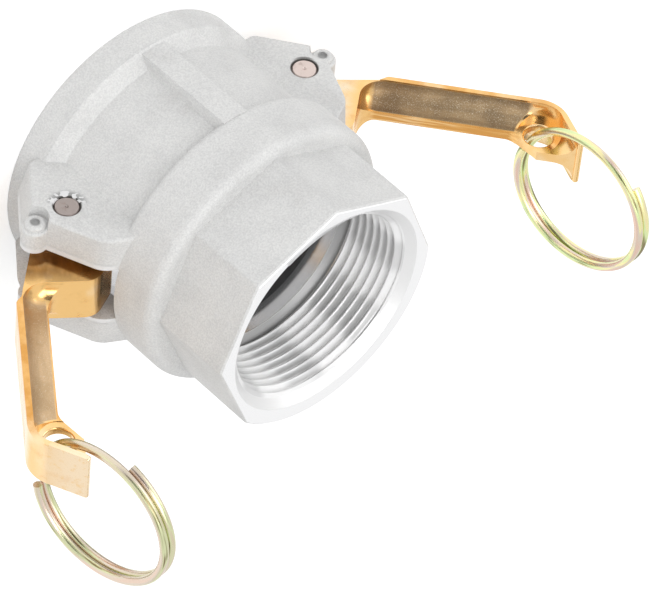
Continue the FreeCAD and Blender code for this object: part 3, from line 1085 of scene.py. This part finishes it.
@dataclass
class PipeThread:
    """The internal pipe thread, a ridge wound up the wall of the bore."""

    pitch: float = 25.4 / 11.5 * MM
    depth: float = 1.35 * MM
    buried: float = 0.25 * MM
    start_below: float = 1.7 * MM
    mouth_slope: float = 1.0
    section_steps: int = 12
    steps_a_turn: int = 144
    merge: float = 1e-7
    clear_of_cone: float = 0.02 * MM
    sharp: float = 40.0

    def __post_init__(self) -> None:
        """Read the bore from the record."""
        place = mount("pipe_thread")
        self.wall = place["dims"]["r_mm"] * MM
        self.top = place["pos_m"][2]
        self.bottom = self.top - place["dims"]["length_mm"] * MM - self.start_below

    def profile(self) -> list[Vector]:
        """Draw the ridge's rounded section at its lowest place.

        Returns:
            Its points, in the plane of X and Z.
        """
        shares = [step / self.section_steps for step in range(self.section_steps + 1)]
        section = [(self.wall - self.depth * HALF * (1 - math.cos(2 * math.pi * share)), self.pitch * share)
                   for share in shares]
        section = [(self.wall + self.buried, 0.0), *section, (self.wall + self.buried, self.pitch)]
        return [Vector((radius, 0.0, self.bottom + height)) for radius, height in section]

    def build(self) -> bpy.types.Object:
        """Wind the ridge out past the mouth, cut the mouth's cone into it and put it on the body.

        Returns:
            The thread.
        """
        turns = (self.top - self.bottom) / self.pitch
        steps = round(turns * self.steps_a_turn)
        made = bmesh.new()
        corners = [made.verts.new(point) for point in self.profile()]
        face = made.faces.new(corners)
        rise = self.pitch / self.steps_a_turn
        bmesh.ops.spin(made, geom=[*corners, *face.edges, face], axis=(0.0, 0.0, 1.0), cent=(0.0, 0.0, 0.0),
                       dvec=(0.0, 0.0, rise), angle=2 * math.pi * steps / self.steps_a_turn, steps=steps,
                       use_merge=False)
        bmesh.ops.remove_doubles(made, verts=made.verts, dist=self.merge)
        self.lead_in(made)
        bmesh.ops.recalc_face_normals(made, faces=made.faces)
        return finish_piece(
            made, "pipe_thread_ridge", CutThread().build(), "coupler", self.sharp)

    def lead_in(self, made: bmesh.types.BMesh) -> None:
        """Press the ridge onto the cone that the mouth was opened with.

        Args:
            made: The mesh under way.
        """
        for point in made.verts:
            radius = math.hypot(point.co.x, point.co.y)
            mouth = self.wall - (self.top - point.co.z) * self.mouth_slope
            wanted = max(radius, mouth + self.clear_of_cone)
            point.co.x *= wanted / radius
            point.co.y *= wanted / radius


def finish_piece(made: bmesh.types.BMesh, name: str, material: bpy.types.Material, body: str,
                 sharp: float) -> bpy.types.Object:
    """Turn a bmesh into a piece that rides on a body.

    Args:
        made: The mesh under way, which is freed.
        name: The piece's name.
        material: Its finish.
        body: The body it rides on.
        sharp: The angle in degrees past which an edge stays sharp.

    Returns:
        The piece.
    """
    for face in made.faces:
        face.smooth = True
    limit = math.radians(sharp)
    for edge in made.edges:
        edge.smooth = len(edge.link_faces) == 2 and edge.calc_face_angle(0.0) < limit
    mesh = bpy.data.meshes.new(name)
    made.to_mesh(mesh)
    made.free()
    mesh.materials.append(material)
    piece = bpy.data.objects.new(name, mesh)
    bpy.context.scene.collection.objects.link(piece)
    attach(piece, body)
    log.info("%s: %d faces on %s", name, len(mesh.polygons), body)
    return piece


@dataclass
class CouplerBody:
    """The casting with its gasket, pins and thread."""

    # The left pin's darker colour is painted dark reflection; both pins are the same steel.
    pin_colours_and_reflections: dict[Side, Colour] = field(default_factory=lambda: {
        Side.LEFT: (0.36, 0.31, 0.29), Side.RIGHT: (0.66, 0.56, 0.52)})

    def build(self) -> None:
        """Dress the casting, the gasket and the pins, and cut the thread."""
        dress("coupler_body", CastAluminium().build())
        dress("seal_ring", SealRubber().build())
        for side, colour in self.pin_colours_and_reflections.items():
            dress("pivot_pin_" + side.word, PinSteel(side, colour).build())
        PipeThread().build()


@dataclass
class ArmWithRing:
    """One cam arm and the finger ring in its end."""

    side: Side
    trough: Colour
    trough_dark: Colour
    tip: Colour
    # Painted dark reflection on the flanges: how much darker amber their sides take.
    flange_dark_reflection: Span
    ring_swing: float
    ring_lean: float
    ring_straw: Colour
    ring_play: float

    def build(self) -> None:
        """Dress the arm and its ring."""
        brass = ForgedBrass(self.side, self.trough, self.trough_dark, self.tip, self.flange_dark_reflection)
        dress("cam_arm_" + self.side.word, brass.build())
        zinc = YellowZinc(self.side, self.ring_swing, self.ring_lean, self.ring_straw, self.ring_play)
        dress("finger_ring_" + self.side.word, zinc.build())


@dataclass(frozen=True)
class Softbox:
    """A square soft lamp that faces the coupling, in metres and watts."""

    name: str
    place: Vector
    size: float
    power: float

    def build(self) -> None:
        """Hang the lamp."""
        light = bpy.data.lights.new(self.name, "AREA")
        light.shape = "SQUARE"
        light.size = self.size
        light.energy = self.power
        holder = bpy.data.objects.new(self.name, light)
        holder.location = self.place
        holder.rotation_euler = self.place.to_track_quat("Z", "Y").to_euler()
        bpy.context.scene.collection.objects.link(holder)


@dataclass
class Studio:
    """Pale floor, soft light and the camera of the photograph."""

    camera_place: Vector = field(default_factory=lambda: Vector((-0.522512, 0.768456, 0.560675)))
    picture_right: Vector = field(default_factory=lambda: Vector((0.73933, 0.07260, 0.66942)))
    picture_down: Vector = field(default_factory=lambda: Vector((-0.45346, -0.68124, 0.57470)))
    focal_pixels: float = 5000.0
    picture_width: float = 660.0
    sensor_width: float = 36.0
    clip: Span = (0.01, 20.0)
    floor_size: float = 6.0
    floor_colour: Colour = (0.86, 0.86, 0.86)
    floor_glow: float = 0.42
    sky_level: float = 0.58
    softboxes: tuple[Softbox, ...] = field(default_factory=lambda: (
        Softbox("key_softbox", Vector((-0.66, 0.80, 1.46)), 1.3, 14.0),
        Softbox("fill_softbox", Vector((1.10, 0.75, 0.90)), 1.0, 4.0)))
    card_place: Vector = field(default_factory=lambda: Vector((-0.62, 0.92, 0.67)))
    card_size: float = 0.82
    card_colour: Colour = (0.04, 0.04, 0.04)

    def build(self) -> None:
        """Set up the whole studio."""
        self.camera()
        self.sheet("floor", self.floor_size, Matrix(), self.floor_colour, self.floor_glow)
        self.sky()
        for softbox in self.softboxes:
            softbox.build()
        self.dark_card()
        bpy.context.scene.view_settings.view_transform = "Standard"

    def camera(self) -> None:
        """Put the camera where the photograph was taken from."""
        lens = bpy.data.cameras.new("camera")
        lens.sensor_width = self.sensor_width
        lens.lens = self.focal_pixels * self.sensor_width / self.picture_width
        lens.clip_start, lens.clip_end = self.clip
        right = self.picture_right.normalized()
        back = right.cross(-self.picture_down).normalized()
        up = back.cross(right)
        turn = Matrix((right, up, back)).transposed().to_4x4()
        holder = bpy.data.objects.new("camera", lens)
        holder.matrix_world = Matrix.Translation(self.camera_place) @ turn
        bpy.context.scene.collection.objects.link(holder)
        bpy.context.scene.camera = holder

    def sheet(self, name: str, size: float, place: Matrix, colour: Colour,
              glow: float = 0.0) -> bpy.types.Object:
        """Make a square sheet of the stage.

        Args:
            name: The sheet's name.
            size: Its side, in metres.
            place: Where it lies and how it is turned.
            colour: Its matte colour.
            glow: How much brighter it is where the camera or a gloss sees it.

        Returns:
            The sheet.
        """
        made = bmesh.new()
        bmesh.ops.create_grid(made, x_segments=1, y_segments=1, size=size / 2, matrix=place)
        mesh = bpy.data.meshes.new(name)
        made.to_mesh(mesh)
        made.free()
        material = bpy.data.materials.new(name)
        material.use_nodes = True
        graph = Graph(material.node_tree)
        output = graph.node("ShaderNodeOutputMaterial")
        matte = graph.node("ShaderNodeBsdfDiffuse")
        matte.inputs["Color"].default_value = opaque(colour)
        surface = matte.outputs[0]
        if glow:
            shine = graph.node("ShaderNodeEmission")
            shine.inputs["Color"].default_value = WHITE
            graph.feed(shine.inputs["Strength"], graph.product(self.seen(graph), glow))
            both = graph.node("ShaderNodeAddShader")
            graph.feed(both.inputs[0], surface)
            graph.feed(both.inputs[1], shine.outputs[0])
            surface = both.outputs[0]
        graph.feed(output.inputs["Surface"], surface)
        mesh.materials.append(material)
        piece = bpy.data.objects.new(name, mesh)
        bpy.context.scene.collection.objects.link(piece)
        return piece

    def dark_card(self) -> None:
        """Hang a dark card behind the camera, which only the metal's gloss shows."""
        turn = self.card_place.to_track_quat("Z", "Y").to_matrix().to_4x4()
        place = Matrix.Translation(self.card_place) @ turn
        card = self.sheet("dark_card", self.card_size, place, self.card_colour)
        card.visible_camera = False
        card.visible_diffuse = False
        card.visible_shadow = False

    @staticmethod
    def seen(graph: Graph) -> Socket:
        """Mask the rays that the camera, a gloss or a clear body sends out.

        Args:
            graph: The graph under way.

        Returns:
            The mask.
        """
        path = graph.node("ShaderNodeLightPath")
        seen = graph.math("MAXIMUM", path.outputs["Is Camera Ray"], path.outputs["Is Glossy Ray"])
        return graph.math("MAXIMUM", seen, path.outputs["Is Transmission Ray"])

    def sky(self) -> None:
        """Set the world: white where it is seen, and a plain level of light on the object."""
        world = bpy.data.worlds.new("studio")
        bpy.context.scene.world = world
        world.use_nodes = True
        graph = Graph(world.node_tree)
        output = graph.node("ShaderNodeOutputWorld")
        back = graph.node("ShaderNodeBackground")
        back.inputs["Color"].default_value = WHITE
        graph.feed(back.inputs["Strength"], graph.between(self.seen(graph), self.sky_level, 1.0))
        graph.feed(output.inputs["Surface"], back.outputs[0])


def main() -> None:
    """Build every sub-assembly and the studio."""
    logging.basicConfig(level=logging.INFO, format="%(message)s")
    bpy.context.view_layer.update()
    Studio().build()
    CouplerBody().build()
    # The trough colours below are darkened partly as painted dark reflection.
    ArmWithRing(
        side=Side.LEFT, trough=(0.72, 0.53, 0.33), trough_dark=(0.54, 0.38, 0.22), tip=(0.92, 0.74, 0.52),
        flange_dark_reflection=(0.5, 1.0), ring_swing=-9.0, ring_lean=42.8, ring_straw=(0.66, 0.58, 0.42),
        ring_play=0.5).build()
    ArmWithRing(
        side=Side.RIGHT, trough=(0.42, 0.30, 0.17), trough_dark=(0.24, 0.17, 0.10), tip=(0.90, 0.62, 0.30),
        flange_dark_reflection=(0.2, 0.7), ring_swing=5.8, ring_lean=34.2, ring_straw=(0.86, 0.78, 0.42),
        ring_play=0.85).build()


if __name__ == "__main__":
    main()
